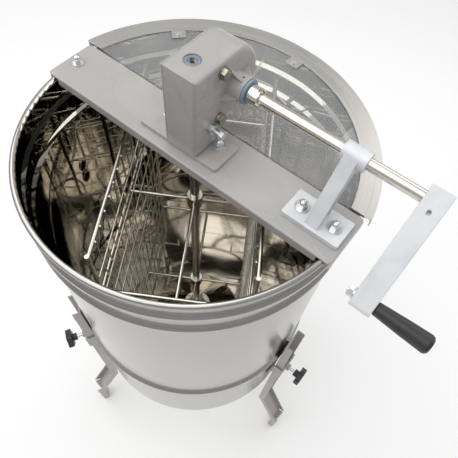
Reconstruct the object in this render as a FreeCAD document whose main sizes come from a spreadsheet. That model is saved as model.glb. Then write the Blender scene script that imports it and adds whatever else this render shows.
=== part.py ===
"""Hand-cranked honey extractor: an upright tank on three legs with a spinning two-basket cage.

Millimetres, +Z up.  The origin is on the cage's axis at floor level, the crossbar runs along X
with the crank on the +X side, and +Y is the side with the lid.
"""
import FreeCAD
import Part
import math
import os
import re

import Sketcher

DOC = FreeCAD.newDocument("HoneyExtractor")
V = FreeCAD.Vector

# ---------------------------------------------------------------- driving dimensions
SIZES = {
    # tank
    "rim_height": 1165, "tank_height": 705, "tank_radius": 250, "sheet": 1.5,
    "rim_roll": 4.5, "bead_swell": 5, "bead_half": 9, "upper_bead_drop": 38, "second_bead_drop": 84,
    "lower_bead_drop": 490, "floor_lift": 22, "dome_radius": 112, "dome_rise": 55, "seat_radius": 34,
    # running and fitting gaps
    "gap": 0.3, "fit": 0.05,
    # crossbar
    "bar_length": 520, "bar_width": 88, "bar_depth": 15, "bar_sheet": 3,
    "notch_length": 18, "bar_corner": 7, "bar_fold": 2.5, "left_bolt_reach": 241, "right_bolt_reach": 236,
    "bolt_radius": 4,
    "bracket_width": 40, "bracket_depth": 28,
    # gearbox
    "crank_offset": 48, "crank_rise": 96, "box_left": 21.5, "box_right": 29,
    "box_front": 30, "box_back": 28, "box_soft": 6, "lobe_radius": 50, "box_wall": 4, "cover_wall": 3,
    "foot_thick": 6, "foot_left": 80, "foot_right": 62, "foot_bolt_right": 39, "foot_bolt_left": 56,
    "foot_bolt_side": 9,
    "boss_radius": 18, "boss_end": 51, "sleeve_radius": 12.5, "sleeve_end": 76,
    "plug_back": 22, "plug_rise": 130, "drain_back": 18, "drain_rise": 57, "lock_rise": 52,
    "bearing_outer": 11.5, "low_bearing_outer": 15, "bearing_width": 8, "spindle_radius": 5,
    "wheel_teeth": 30, "pinion_teeth": 10, "wheel_face": 12, "pinion_face": 22, "backlash": 0.35,
    # crank
    "crank_radius": 8, "arm_start": 302, "arm_width": 28.5, "arm_half": 13, "arm_top": 17,
    "arm_reach": 138,
    "arm_tilt": 42, "grip_length": 73, "grip_small": 9, "grip_big": 12.7,
    # pedestal
    "pedestal_left": 168, "pedestal_right": 254, "pedestal_thick": 8, "pedestal_half": 23,
    "pedestal_boss_start": 196.5, "pedestal_boss_length": 34, "pedestal_boss_radius": 13.5,
    "inner_bolt_reach": 186, "bush_radius": 10,
    # cage
    "shaft_radius": 8, "upper_arm_drop": 143, "lower_arm_drop": 472, "hub_radius": 13,
    "hub_length": 26, "basket_offset": 113, "basket_half": 186, "basket_top_drop": 38,
    "basket_bottom_drop": 590, "rod_radius": 3, "wire_radius": 1.3, "mesh_pitch": 24.8,
    "mesh_rise": 50, "cradle_depth": 42, "cradle_lip": 30, "cage_turn": -58,
    # legs
    "leg_width": 45, "leg_depth": 17, "leg_sheet": 2.5, "leg_top_drop": 400, "leg_kink": 260,
    "leg_knee": 120, "leg_splay": 68, "shoe_width": 34, "strap_drop": 546, "strap_height": 52,
    "strap_sheet": 3, "strap_wing": 14, "knob_reach": 53, "knob_radius": 21.5, "stop_height": 425,
    # lid
    "lid_radius": 271, "lid_ring": 31, "lid_sheet": 1.5, "window_thick": 3, "lid_front": 46,
    "lid_skirt": 14, "tab_width": 24, "tab_reach": 18,
    # honey gate
    "spout_radius": 24, "spout_wall": 2, "spout_end": 288, "gate_thick": 12, "gate_radius": 38,
    "blade_thick": 6, "gate_pin_reach": 46,
}


def make_sheet():
    """Write every driving dimension into the spreadsheet, one row each."""
    table = DOC.addObject("Spreadsheet::Sheet", "Sizes")
    for row, (word, value) in enumerate(SIZES.items(), start=1):
        table.set("A%d" % row, word)
        table.set("B%d" % row, str(value))
        table.setAlias("B%d" % row, word)
    DOC.recompute()
    return table


SHEET = make_sheet()
NODES = []


def size(word):
    """A driving dimension read back from the sheet."""
    return float(SHEET.get(word))


def formula(text):
    """Turn 'tank_radius - sheet' into the sheet's own references."""
    return re.sub(r"[a-z_]+", lambda m: "Sizes." + m.group() if m.group() in SIZES else m.group(),
                  str(text))


# ---------------------------------------------------------------- building blocks
TURNS = {
    "Z": FreeCAD.Rotation(),
    "X": FreeCAD.Rotation(V(0, 1, 0), 90),
    "Y": FreeCAD.Rotation(V(1, 0, 0), -90),
    "slant": FreeCAD.Rotation(V(1, 0, 0), -45),
}


def place(thing, at, turn=None):
    """Set a thing's place from three formulas, after its rotation."""
    if turn is not None:
        thing.Placement = FreeCAD.Placement(V(), turn)
    for letter, text in zip("xyz", at):
        thing.setExpression("Placement.Base." + letter, formula(text))
    return thing


def cylinder(name, radius, length, at=("0", "0", "0"), along="Z"):
    """A cylinder that starts at a point and runs along an axis."""
    thing = DOC.addObject("Part::Cylinder", name)
    thing.setExpression("Radius", formula(radius))
    thing.setExpression("Height", formula(length))
    return place(thing, at, TURNS[along])


def box(name, dims, at=("0", "0", "0")):
    """A box with its low corner at a point."""
    thing = DOC.addObject("Part::Box", name)
    for side, text in zip(("Length", "Width", "Height"), dims):
        thing.setExpression(side, formula(text))
    return place(thing, at)


def bar(name, dims, at):
    """A box centred in X and Y on a point, standing on it."""
    x, y, z = at
    return box(name, dims, ("%s - (%s) / 2" % (x, dims[0]), "%s - (%s) / 2" % (y, dims[1]), z))


def hexagon(name, across_flats, length, at, along="Z"):
    """A hexagon prism for nuts and bolt heads."""
    thing = DOC.addObject("Part::Prism", name)
    thing.Polygon = 6
    thing.setExpression("Circumradius", formula("(%s) / 2 / cos(30)" % across_flats))
    thing.setExpression("Height", formula(length))
    return place(thing, at, TURNS[along])


def union(name, *things):
    """One solid from several that overlap."""
    thing = DOC.addObject("Part::MultiFuse", name)
    thing.Shapes = list(things)
    return thing


def cut(name, base, *tools):
    """The base with the tools taken out."""
    thing = DOC.addObject("Part::Cut", name)
    thing.Base = base
    thing.Tool = tools[0] if len(tools) == 1 else union(name + "_tools", *tools)
    return thing


def group(name, *things):
    """Separate solids that share one node."""
    thing = DOC.addObject("Part::Compound", name)
    thing.Links = list(things)
    return thing


def ring(name, outer, inner, length, at=("0", "0", "0"), along="Z"):
    """A plain bush or washer."""
    base = cylinder(name + "_outside", outer, length, at, along)
    bore = cylinder(name + "_bore", inner, length, at, along)
    return cut(name, base, bore)


def origin_plane(body, role):
    """One of the body's own origin planes."""
    return next(item for item in body.Origin.OriginFeatures if item.Role == role)


def sketch_outline(body, name, role, points):
    """A closed outline whose every corner is held by two formulas."""
    sketch = body.newObject("Sketcher::SketchObject", name)
    sketch.AttachmentSupport = [(origin_plane(body, role), "")]
    sketch.MapMode = "FlatFace"
    start = [V(10 * math.cos(2 * math.pi * i / len(points)), 10 * math.sin(2 * math.pi * i / len(points)), 0)
             for i in range(len(points))]
    for i, corner in enumerate(start):
        sketch.addGeometry(Part.LineSegment(corner, start[(i + 1) % len(start)]), False)
    for i in range(len(points)):
        sketch.addConstraint(Sketcher.Constraint("Coincident", i, 2, (i + 1) % len(points), 1))
    for i, (across, up) in enumerate(points):
        for kind, text in (("DistanceX", across), ("DistanceY", up)):
            index = sketch.addConstraint(Sketcher.Constraint(kind, -1, 1, i, 1, 1.0))
            sketch.setExpression("Constraints[%d]" % index, formula(text))
    return sketch


def lathe(name, points, at=("0", "0", "0"), along="Z"):
    """A body turned about its axis from (radius, height) corners."""
    body = DOC.addObject("PartDesign::Body", name)
    sketch = sketch_outline(body, name + "_profile", "XZ_Plane", points)
    turned = body.newObject("PartDesign::Revolution", name + "_turned")
    turned.Profile = sketch
    turned.ReferenceAxis = (sketch, ["V_Axis"])
    turned.Angle = 360
    return place(body, at, TURNS[along])


def plate(name, points, thickness, role="XY_Plane", at=("0", "0", "0"), midplane=False, turn=None):
    """A body padded from an outline."""
    body = DOC.addObject("PartDesign::Body", name)
    sketch = sketch_outline(body, name + "_outline", role, points)
    pad = body.newObject("PartDesign::Pad", name + "_pad")
    pad.Profile = sketch
    pad.Midplane = midplane
    pad.setExpression("Length", formula(thickness))
    return place(body, at, turn)


def spun(name, thing, degrees, about=(0, 0, 0), axis=(0, 0, 1)):
    """The same thing turned about a line, as a copy that follows the first."""
    copy = DOC.addObject("Part::Compound", name)
    copy.Links = [thing]
    copy.Placement = FreeCAD.Placement(V(), FreeCAD.Rotation(V(*axis), degrees), V(*about))
    return copy


def node(label, thing):
    """Name a finished sub-part and keep it for export."""
    thing.Label = label
    NODES.append((label, thing))
    return thing


def solid_from(label, shape):
    """A node whose shape is worked out from the sheet's values."""
    DOC.recompute()
    thing = DOC.addObject("Part::Feature", label)
    thing.Shape = shape
    return node(label, thing)


# ---------------------------------------------------------------- tank
def bead(height):
    """Outer corners of one swaged bead, going up."""
    return [("tank_radius", "%s - bead_half" % height),
            ("tank_radius + bead_swell", "%s - bead_half / 3" % height),
            ("tank_radius + bead_swell", "%s + bead_half / 3" % height),
            ("tank_radius", "%s + bead_half" % height)]


def make_tank():
    """The rolled shell, its raised bottom and the outlet through the wall."""
    heights = ["rim_height - lower_bead_drop", "rim_height - second_bead_drop",
               "rim_height - upper_bead_drop"]
    outside = [("tank_radius", "rim_height - tank_height")]
    for height in heights:
        outside += bead(height)
    outside.append(("tank_radius", "rim_height"))
    inside = [("%s - sheet" % across, up) for across, up in reversed(outside)]
    wall = lathe("tank_wall", outside + inside)
    roll = DOC.addObject("Part::Torus", "rim_roll_tube")
    roll.setExpression("Radius1", formula("tank_radius + 1"))
    roll.setExpression("Radius2", formula("rim_roll"))
    place(roll, ("0", "0", "rim_height"))
    hole = cylinder("outlet_hole", "spout_radius + gap", "40", ("0", "tank_radius - 20", OUTLET), "Y")
    node("tank_shell", cut("tank_shell_solid", union("tank_with_rim", wall, roll), hole))

    edge = "tank_radius - sheet - gap"
    node("tank_bottom", lathe("tank_bottom_body", [
        ("0", DOME_TOP), ("seat_radius", DOME_TOP), ("dome_radius", TANK_FLOOR), (edge, TANK_FLOOR),
        (edge, "rim_height - tank_height + 2"), (edge + " - sheet", "rim_height - tank_height + 2"),
        (edge + " - sheet", TANK_FLOOR + " - sheet"), ("dome_radius", TANK_FLOOR + " - sheet"),
        ("seat_radius", DOME_TOP + " - sheet"), ("0", DOME_TOP + " - sheet")]))
    node("pivot_seat", lathe("pivot_seat_body", [
        ("0", DOME_TOP + " + gap"), ("22", DOME_TOP + " + gap"), ("22", DOME_TOP + " + 6"),
        ("14", DOME_TOP + " + 16"), ("10", DOME_TOP + " + 16"), ("5", DOME_TOP + " + 8"),
        ("0", DOME_TOP + " + 8")]))
    ball = DOC.addObject("Part::Sphere", "pivot_ball_sphere")
    ball.Radius = 4.5
    place(ball, ("0", "0", DOME_TOP + " + 8 + 4.5 + fit"))
    node("pivot_ball", ball)


TANK_FLOOR = "rim_height - tank_height + floor_lift"
DOME_TOP = TANK_FLOOR + " + dome_rise"
OUTLET = "rim_height - tank_height + floor_lift + spout_radius + 4"
SHAFT_FOOT = DOME_TOP + " + 17 + 2 * fit"


def make_honey_gate():
    """The outlet spout, the gate's face ring, its swinging blade, pivot and clamp screw."""
    spout = ring("spout_tube", "spout_radius", "spout_radius - spout_wall",
                 "spout_end - tank_radius + 6", ("0", "tank_radius - 6", OUTLET), "Y")
    node("outlet_spout", spout)
    face_start = "spout_end + gap"
    blade_start = "spout_end + gate_thick + 2 * gap"
    disc = cylinder("gate_disc", "gate_radius", "gate_thick", ("0", face_start, OUTLET), "Y")
    lugs = box("gate_lugs", ("2 * gate_pin_reach + 20", "gate_thick", "22"),
               ("-gate_pin_reach - 10", face_start, OUTLET + " - 11"))
    bore = cylinder("gate_bore", "spout_radius - spout_wall", "gate_thick", ("0", face_start, OUTLET), "Y")
    pin_hole = cylinder("gate_pin_hole", "4 + fit", "gate_thick", ("-gate_pin_reach", face_start, OUTLET),
                        "Y")
    screw_hole = cylinder("gate_screw_hole", "4 + fit", "gate_thick",
                          ("gate_pin_reach", face_start, OUTLET), "Y")
    node("gate_body", cut("gate_body_solid", union("gate_blank", disc, lugs), bore, pin_hole, screw_hole))

    leaf = cylinder("blade_disc", "gate_radius - 2", "blade_thick", ("0", blade_start, OUTLET), "Y")
    arm = box("blade_arm", ("gate_pin_reach", "blade_thick", "20"),
              ("-gate_pin_reach", blade_start, OUTLET + " - 10"))
    eye = cylinder("blade_eye", "10", "blade_thick", ("-gate_pin_reach", blade_start, OUTLET), "Y")
    hole = cylinder("blade_hole", "4 + fit", "blade_thick", ("-gate_pin_reach", blade_start, OUTLET), "Y")
    node("gate_blade", cut("gate_blade_solid", union("blade_blank", leaf, arm, eye), hole))

    length = "gate_thick + blade_thick + 3 * gap"
    shank = cylinder("gate_pivot_shank", "4", length, ("-gate_pin_reach", face_start, OUTLET), "Y")
    cap = cylinder("gate_pivot_cap", "7.5", "4",
                   ("-gate_pin_reach", blade_start + " + blade_thick + gap", OUTLET), "Y")
    node("gate_pivot", union("gate_pivot_solid", shank, cap))
    stud = cylinder("gate_stud", "4", length + " + 10", ("gate_pin_reach", face_start, OUTLET), "Y")
    knob = cylinder("gate_knob_hub", "12", "12",
                    ("gate_pin_reach", blade_start + " + blade_thick + gap", OUTLET), "Y")
    wings = box("gate_knob_wings", ("8", "12", "44"),
                ("gate_pin_reach - 4", blade_start + " + blade_thick + gap + 2", OUTLET + " - 22"))
    node("gate_screw", union("gate_screw_solid", stud, knob, wings))


# ---------------------------------------------------------------- crossbar
BAR_TOP = "rim_height + rim_roll + gap + bar_sheet"


def make_crossbar():
    """The folded tray that crosses the tank, notched over the rim, and what bolts it down."""
    tray = bar("bar_block", ("bar_length", "bar_width", "bar_depth"), ("0", "0", BAR_TOP + " - bar_depth"))
    DOC.recompute()
    cornered = rounded_edges("bar_cornered", tray, size("bar_corner"), lambda e: edge_runs(e, "Z"))
    top = max(v.Z for v in tray.Shape.Vertexes)
    rounded = rounded_edges("bar_rounded", cornered, size("bar_fold"), lambda e: e.BoundBox.ZMin > top - 0.01)
    hollow = bar("bar_hollow", ("bar_length - 2 * bar_sheet", "bar_width - 2 * bar_sheet", "bar_depth"),
                 ("0", "0", BAR_TOP + " - bar_depth - bar_sheet"))
    tools = [hollow]
    for side, start in (("right", "bar_length / 2 - bar_sheet - notch_length"),
                        ("left", "-bar_length / 2 + bar_sheet")):
        tools.append(box("rim_notch_" + side, ("notch_length", "bar_width", "bar_depth"),
                         (start, "-bar_width / 2", BAR_TOP + " - bar_sheet - bar_depth")))
    for name, x, y in (("left", "-left_bolt_reach", "0"), ("right", "right_bolt_reach", "0"),
                       ("inner", "inner_bolt_reach", "0"),
                       ("foot_right", "foot_bolt_right", "foot_bolt_side"),
                       ("foot_left", "-foot_bolt_left", "foot_bolt_side")):
        tools.append(cylinder("bar_hole_" + name, "bolt_radius + fit", "20", (x, y, BAR_TOP + " - 10")))
    tools.append(cylinder("bar_hole_shaft", "shaft_radius + 4", "20", ("0", "0", BAR_TOP + " - 10")))
    node("crossbar", cut("crossbar_solid", rounded, *tools))

    wall = "tank_radius - sheet - gap"
    for side, turn in (("left", 180), ("right", 0)):
        shelf = box("bracket_shelf_" + side, ("bracket_depth", "bracket_width", "3"),
                    (wall + " - bracket_depth - 0.8", "-bracket_width / 2", "-3"))
        webs = [box("bracket_web_%s_%s" % (side, hand), ("bracket_depth - 4", "3", "26"),
                    (wall + " - bracket_depth + 3.2", y, "-27"))
                for hand, y in (("a", "-bracket_width / 2"), ("b", "bracket_width / 2 - 3"))]
        slope = box("bracket_slope_" + side, ("60", "60", "60"), ("0", "-30", "0"))
        slope.Placement = FreeCAD.Placement(V(), FreeCAD.Rotation(V(0, 1, 0), 135))
        place(slope, (wall + " - bracket_depth - 3", "-30", "-5"))
        hole = cylinder("bracket_hole_" + side, "bolt_radius + fit", "10",
                        (side + "_bolt_reach", "0", "-8"))
        solid = cut("bar_bracket_%s_solid" % side, union("bracket_blank_" + side, shelf, *webs), slope, hole)
        turned = spun("bar_bracket_%s_turned" % side, solid, turn)
        node("bar_bracket_" + side, place(turned, ("0", "0", "rim_height - rim_roll - 1")))


def bolt_up(name, x, y, under, top):
    """A bolt from below: hex head under a face, shank up past a top face."""
    head = hexagon(name + "_head", "13", "5.3", (x, y, under + " - 5.3 - gap"))
    head.Placement = FreeCAD.Placement(head.Placement.Base, FreeCAD.Rotation(V(0, 0, 1), 30))
    shank = cylinder(name + "_shank", "bolt_radius", "(%s) - (%s) + 9 + gap" % (top, under),
                     (x, y, under + " - gap"))
    return union(name, head, shank)


def dome_nut(name, x, y, top, washer_radius="10.5"):
    """A washer and a domed nut standing on a face, over a bolt's end."""
    washer = ring(name + "_washer", washer_radius, "bolt_radius + fit", "1.6", (x, y, top + " + gap / 2"))
    low = top + " + gap + 1.6"
    nut = hexagon(name + "_hex", "13", "6.5", (x, y, low))
    cap = DOC.addObject("Part::Sphere", name + "_cap")
    cap.Radius = 5.6
    place(cap, (x, y, low + " + 6"))
    bore = cylinder(name + "_bore", "bolt_radius + fit", "9 - 1.6 + gap", (x, y, low + " - gap / 2"))
    return washer, cut(name + "_nut", union(name + "_blank", nut, cap), bore)


def make_bar_fasteners():
    """Bolts and domed nuts at the bar's ends, the pedestal and the gearbox's foot."""
    shelf = "rim_height - rim_roll - 4"
    plate_under = BAR_TOP + " - bar_sheet"
    pedestal_top = BAR_TOP + " + gap + pedestal_thick"
    foot_top = BAR_TOP + " + gap + foot_thick"
    left = bolt_up("bar_bolt_left", "-left_bolt_reach", "0", shelf, BAR_TOP)
    right = bolt_up("bar_bolt_right", "right_bolt_reach", "0", shelf, pedestal_top)
    inner = bolt_up("bar_bolt_inner", "inner_bolt_reach", "0", plate_under, pedestal_top)
    node("bar_bolts", group("bar_bolts_group", left, right, inner))
    nuts = (dome_nut("nut_left", "-left_bolt_reach", "0", BAR_TOP)
            + dome_nut("nut_right", "right_bolt_reach", "0", pedestal_top)
            + dome_nut("nut_inner", "inner_bolt_reach", "0", pedestal_top))
    node("bar_nuts", group("bar_nuts_group", *nuts))
    one = bolt_up("foot_screw_right", "foot_bolt_right", "foot_bolt_side", plate_under, foot_top)
    two = bolt_up("foot_screw_left", "-foot_bolt_left", "foot_bolt_side", plate_under, foot_top)
    caps = (dome_nut("foot_nut_right", "foot_bolt_right", "foot_bolt_side", foot_top, "8.5")
            + dome_nut("foot_nut_left", "-foot_bolt_left", "foot_bolt_side", foot_top, "8.5"))
    node("gearbox_bolts", group("gearbox_bolts_group", one, two, *caps))


def edge_runs(edge, letter):
    """True for a straight edge along one axis."""
    if edge.Curve.TypeId != "Part::GeomLine":
        return False
    way = edge.tangentAt(edge.FirstParameter)
    return abs(getattr(way, letter.lower())) > 0.999


def rounded_edges(name, thing, radius, wanted):
    """Round the edges that a test picks out."""
    DOC.recompute()
    fillet = DOC.addObject("Part::Fillet", name)
    fillet.Base = thing
    fillet.Edges = [(i, radius, radius) for i, edge in enumerate(thing.Shape.Edges, start=1) if wanted(edge)]
    return fillet


# ---------------------------------------------------------------- gearbox
AXIS_Y = "crank_offset"
AXIS_Z = "rim_height + crank_rise"
BOX_FLOOR = BAR_TOP + " + gap"
BOX_TOP = AXIS_Z + " + lobe_radius"


def housing_outline(name, start, width, inset):
    """The gearbox's side shape, a block with a round lobe behind, as one solid along X."""
    lobe = cylinder(name + "_lobe", "lobe_radius - %s" % inset, width, (start, AXIS_Y, AXIS_Z), "X")
    upper = box(name + "_upper", (width, "box_front + crank_offset - %s" % inset, "lobe_radius - %s" % inset),
                (start, "-box_front + %s" % inset, AXIS_Z))
    lower = box(name + "_lower", (width, "box_front + box_back - 2 * (%s)" % inset,
                                  "crank_rise - rim_roll - bar_sheet - foot_thick - 2 * gap"),
                (start, "-box_front + %s" % inset, BOX_FLOOR + " + foot_thick"))
    return union(name, lobe, upper, lower)


def make_gearbox():
    """The cast housing, its side cover and what is screwed to them."""
    outer = housing_outline("box_outer", "-box_left", "box_left + box_right", "0")
    right = size("box_right")
    front = -size("box_front")

    def soft(edge):
        """The right face's outline and the front's upright corner."""
        box_of = edge.BoundBox
        on_right = box_of.XMin > right - 0.01
        upright = edge_runs(edge, "Z") and box_of.YMax < front + 0.01 and on_right
        return on_right or upright
    shell = rounded_edges("box_softened", outer, size("box_soft"), soft)
    foot = box("box_foot", ("foot_left + foot_right", "box_front + box_back - 4", "foot_thick"),
               ("-foot_left", "-box_front + 2", BOX_FLOOR))
    foot_soft = rounded_edges("box_foot_soft", foot, 5, lambda e: edge_runs(e, "Z"))
    boss = cylinder("box_boss", "boss_radius", "boss_end - box_right + 2",
                    ("box_right - 2", AXIS_Y, AXIS_Z), "X")
    gussets = [make_gusset("gusset_%d" % turn, turn) for turn in (20, 110, 200, 290)]
    top_boss = cylinder("top_boss", "bearing_outer + 4", "12", ("0", "0", BOX_TOP + " - 12"))
    low_boss = cylinder("low_boss", "low_bearing_outer + 4", "12", ("0", "0", BOX_FLOOR))
    blank = union("box_blank", shell, foot_soft, boss, *gussets)
    cavity = housing_outline("box_cavity", "-box_left - 1", "box_left + box_right - box_wall + 1", "box_wall")
    cavity_cut = cut("box_cavity_cut", cavity, top_boss, low_boss)
    tools = [
        cavity_cut,
        cylinder("top_bore", "bearing_outer", "13", ("0", "0", BOX_TOP + " - 12.5")),
        cylinder("low_bore", "low_bearing_outer", "12", ("0", "0", BOX_FLOOR + " + 1.5")),
        cylinder("shaft_bore", "shaft_radius + 2", "4", ("0", "0", BOX_FLOOR + " - 1")),
        cylinder("boss_bore", "14", "boss_end - box_right + 8", ("box_right - 7", AXIS_Y, AXIS_Z), "X"),
        cylinder("foot_hole_right", "bolt_radius + fit", "30",
                 ("foot_bolt_right", "foot_bolt_side", BOX_FLOOR + " - 2")),
        cylinder("foot_hole_left", "bolt_radius + fit", "30",
                 ("-foot_bolt_left", "foot_bolt_side", BOX_FLOOR + " - 2")),
        cylinder("plug_hole", "5 + fit", "8", ("box_right - 6", "plug_back", "rim_height + plug_rise"), "X"),
        cylinder("drain_hole", "5 + fit", "8", ("box_right - 6", "drain_back", "rim_height + drain_rise"),
                 "X"),
        cylinder("lock_hole", "4 + fit", "8", ("box_right - 6", "0", "rim_height + lock_rise"), "X"),
        cylinder("boss_set_hole", "1.8", "30", ("boss_end - 8", AXIS_Y, AXIS_Z)),
    ]
    node("gearbox_housing", cut("gearbox_housing_solid", blank, *tools))


def make_gusset(name, turn):
    """One triangular rib between the housing's side and the boss."""
    rib = plate(name, [("box_right - 1", "boss_radius - 2"), ("boss_end - 5", "boss_radius - 2"),
                       ("boss_end - 5", "boss_radius + 1"), ("box_right - 1", "boss_radius + 14")],
                "4", "XZ_Plane", midplane=True)
    return place(rib, ("0", AXIS_Y, AXIS_Z), FreeCAD.Rotation(V(1, 0, 0), turn))


def make_gearbox_small_parts():
    """Cover, its screws, the brass plug, the lock bolt and the bearings."""
    blank = housing_outline("cover_outer", "-box_left - gap - cover_wall", "cover_wall", "0")
    left = -size("box_left") - size("gap") - size("cover_wall")
    soft = rounded_edges("cover_softened", blank, 2, lambda e: e.BoundBox.XMax < left + 0.01)
    spots = [("-box_front + 8", "rim_height + 26"), ("-box_front + 8", "rim_height + 134"),
             ("crank_offset + 34", "rim_height + crank_rise + 22"), ("box_back - 7", "rim_height + 26"),
             ("crank_offset + 30", "rim_height + crank_rise - 26")]
    holes, screws, bosses = [], [], []
    for i, (y, z) in enumerate(spots):
        start = "-box_left - gap - cover_wall"
        holes.append(cylinder("cover_hole_%d" % i, "2.5", "8", (start + " - 1", y, z), "X"))
        head = cylinder("cover_head_%d" % i, "4.2", "3", (start + " - 3 - gap", y, z), "X")
        shank = cylinder("cover_shank_%d" % i, "2.2", "cover_wall + 2 * gap", (start + " - gap", y, z), "X")
        socket = hexagon("cover_socket_%d" % i, "4", "2", (start + " - 3 - gap", y, z), "X")
        screws.append(cut("cover_screw_%d" % i, union("cover_screw_blank_%d" % i, head, shank), socket))
    node("gearbox_cover", cut("gearbox_cover_solid", soft, *holes))
    node("cover_screws", group("cover_screws_group", *screws))

    plugs = []
    for word in ("plug", "drain"):
        y, z = word + "_back", "rim_height + %s_rise" % word
        head = hexagon(word + "_head", "14", "6", ("box_right + gap + 2", y, z), "X")
        flange = cylinder(word + "_flange", "8.5", "2", ("box_right + gap", y, z), "X")
        thread = cylinder(word + "_thread", "5", "5", ("box_right + gap - 5", y, z), "X")
        plugs.append(union(word + "_solid", head, flange, thread))
    node("oil_plugs", group("oil_plugs_group", *plugs))
    stud = cylinder("lock_stud", "4", "23", ("box_right - 5", "0", "rim_height + lock_rise"), "X")
    hexa = hexagon("lock_head", "12", "6", ("box_right + 18", "0", "rim_height + lock_rise"), "X")
    nut_out = hexagon("lock_nut_hex", "13", "6", ("box_right + gap", "0", "rim_height + lock_rise"), "X")
    nut_in = cylinder("lock_nut_bore", "4 + fit", "6", ("box_right + gap", "0", "rim_height + lock_rise"),
                      "X")
    node("lock_bolt", group("lock_bolt_group", union("lock_bolt_solid", stud, hexa),
                            cut("lock_nut", nut_out, nut_in)))

    top = make_bearing("top", "bearing_outer - fit", "spindle_radius + fit", "bearing_width",
                       ("0", "0", BOX_TOP + " - bearing_width - 1"), "Z")
    low = make_bearing("low", "low_bearing_outer - fit", "shaft_radius + fit", "bearing_width",
                       ("0", "0", BOX_FLOOR + " + 2"), "Z")
    node("cage_bearings", group("cage_bearings_group", top, low))
    first = make_bearing("crank_inner", "14 - fit", "10 + fit", "bearing_width",
                         ("box_right - 6", AXIS_Y, AXIS_Z), "X")
    second = make_bearing("crank_outer", "14 - fit", "10 + fit", "bearing_width",
                          ("boss_end - bearing_width - 1", AXIS_Y, AXIS_Z), "X")
    node("crank_bearings", group("crank_bearings_group", first, second))
    node("crank_seal", ring("crank_seal_ring", "boss_radius - 1.5", "10 + fit", "3.5",
                            ("boss_end + gap", AXIS_Y, AXIS_Z), "X"))


def make_bearing(name, outer, inner, width, at, along):
    """A sealed bearing as one ring, with the seals' shallow recess in each face."""
    race = ring(name + "_race", outer, inner, width, at, along)
    far = [(text + " + %s - 0.6" % width) if letter == along else text for letter, text in zip("XYZ", at)]
    seals = [ring("%s_seal_%s" % (name, end), "%s - 1.6" % outer, "%s + 1.6" % inner, "0.6", spot, along)
             for end, spot in (("near", at), ("far", tuple(far)))]
    return cut(name + "_bearing", race, *seals)


def gear_shape(teeth, pitch_radius, face, backlash):
    """A right-handed 45 degree helical gear along Z, lofted through turned outlines."""
    module = 2 * pitch_radius / teeth * math.cos(math.radians(45))
    tip, root = pitch_radius + module, pitch_radius - 1.25 * module
    pressure = math.atan(math.tan(math.radians(20)) / math.cos(math.radians(45)))
    base = pitch_radius * math.cos(pressure)

    def half_angle(radius):
        """Half a tooth's width at a radius, from the involute of the base circle."""
        radius = max(radius, base)
        local = math.acos(base / radius)
        at_pitch = math.pi / 2 / teeth - backlash / 2 / pitch_radius
        return at_pitch + (math.tan(pressure) - pressure) - (math.tan(local) - local)

    def outline(turn, height):
        points = []
        for tooth in range(teeth):
            middle = 2 * math.pi * tooth / teeth + turn
            for radius, sign in ((root, -1), (pitch_radius, -1), (tip, -1), (tip, 1), (pitch_radius, 1),
                                 (root, 1)):
                angle = middle + sign * half_angle(radius)
                points.append(V(radius * math.cos(angle), radius * math.sin(angle), height))
        return Part.makePolygon(points + points[:1])

    twist = face / pitch_radius
    steps = max(4, int(math.ceil(math.degrees(twist) / 9)))
    wires = [outline(twist * (i / steps - 0.5), face * (i / steps - 0.5)) for i in range(steps + 1)]
    return Part.makeLoft(wires, True, True)


def make_gears():
    """The pinion on the cage's spindle and the wheel on the crank's sleeve, crossed at 90 degrees."""
    teeth, small = int(size("wheel_teeth")), int(size("pinion_teeth"))
    offset = size("crank_offset")
    wheel_radius = offset * teeth / (teeth + small)
    pinion_radius = offset * small / (teeth + small)
    axis_z = size("rim_height") + size("crank_rise")

    pinion = gear_shape(small, pinion_radius, size("pinion_face"), size("backlash"))
    bore = Part.makeCylinder(size("spindle_radius") + size("fit"), 60, V(0, 0, -30))
    pinion = pinion.cut(bore)
    pinion.rotate(V(), V(0, 0, 1), 90)
    pinion.translate(V(0, 0, axis_z))
    solid_from("drive_pinion", pinion)

    wheel = gear_shape(teeth, wheel_radius, size("wheel_face"), size("backlash"))
    wheel = wheel.cut(Part.makeCylinder(10 + size("fit"), 60, V(0, 0, -30)))
    for i in range(6):
        spot = V((wheel_radius + 10) / 2, 0, -30)
        hole = Part.makeCylinder(6, 60, spot)
        hole.rotate(V(), V(0, 0, 1), 60 * i + 30)
        wheel = wheel.cut(hole)
    wheel.rotate(V(), V(0, 1, 0), 90)
    wheel.translate(V(0, offset, axis_z))
    solid_from("drive_wheel", wheel)


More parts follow.
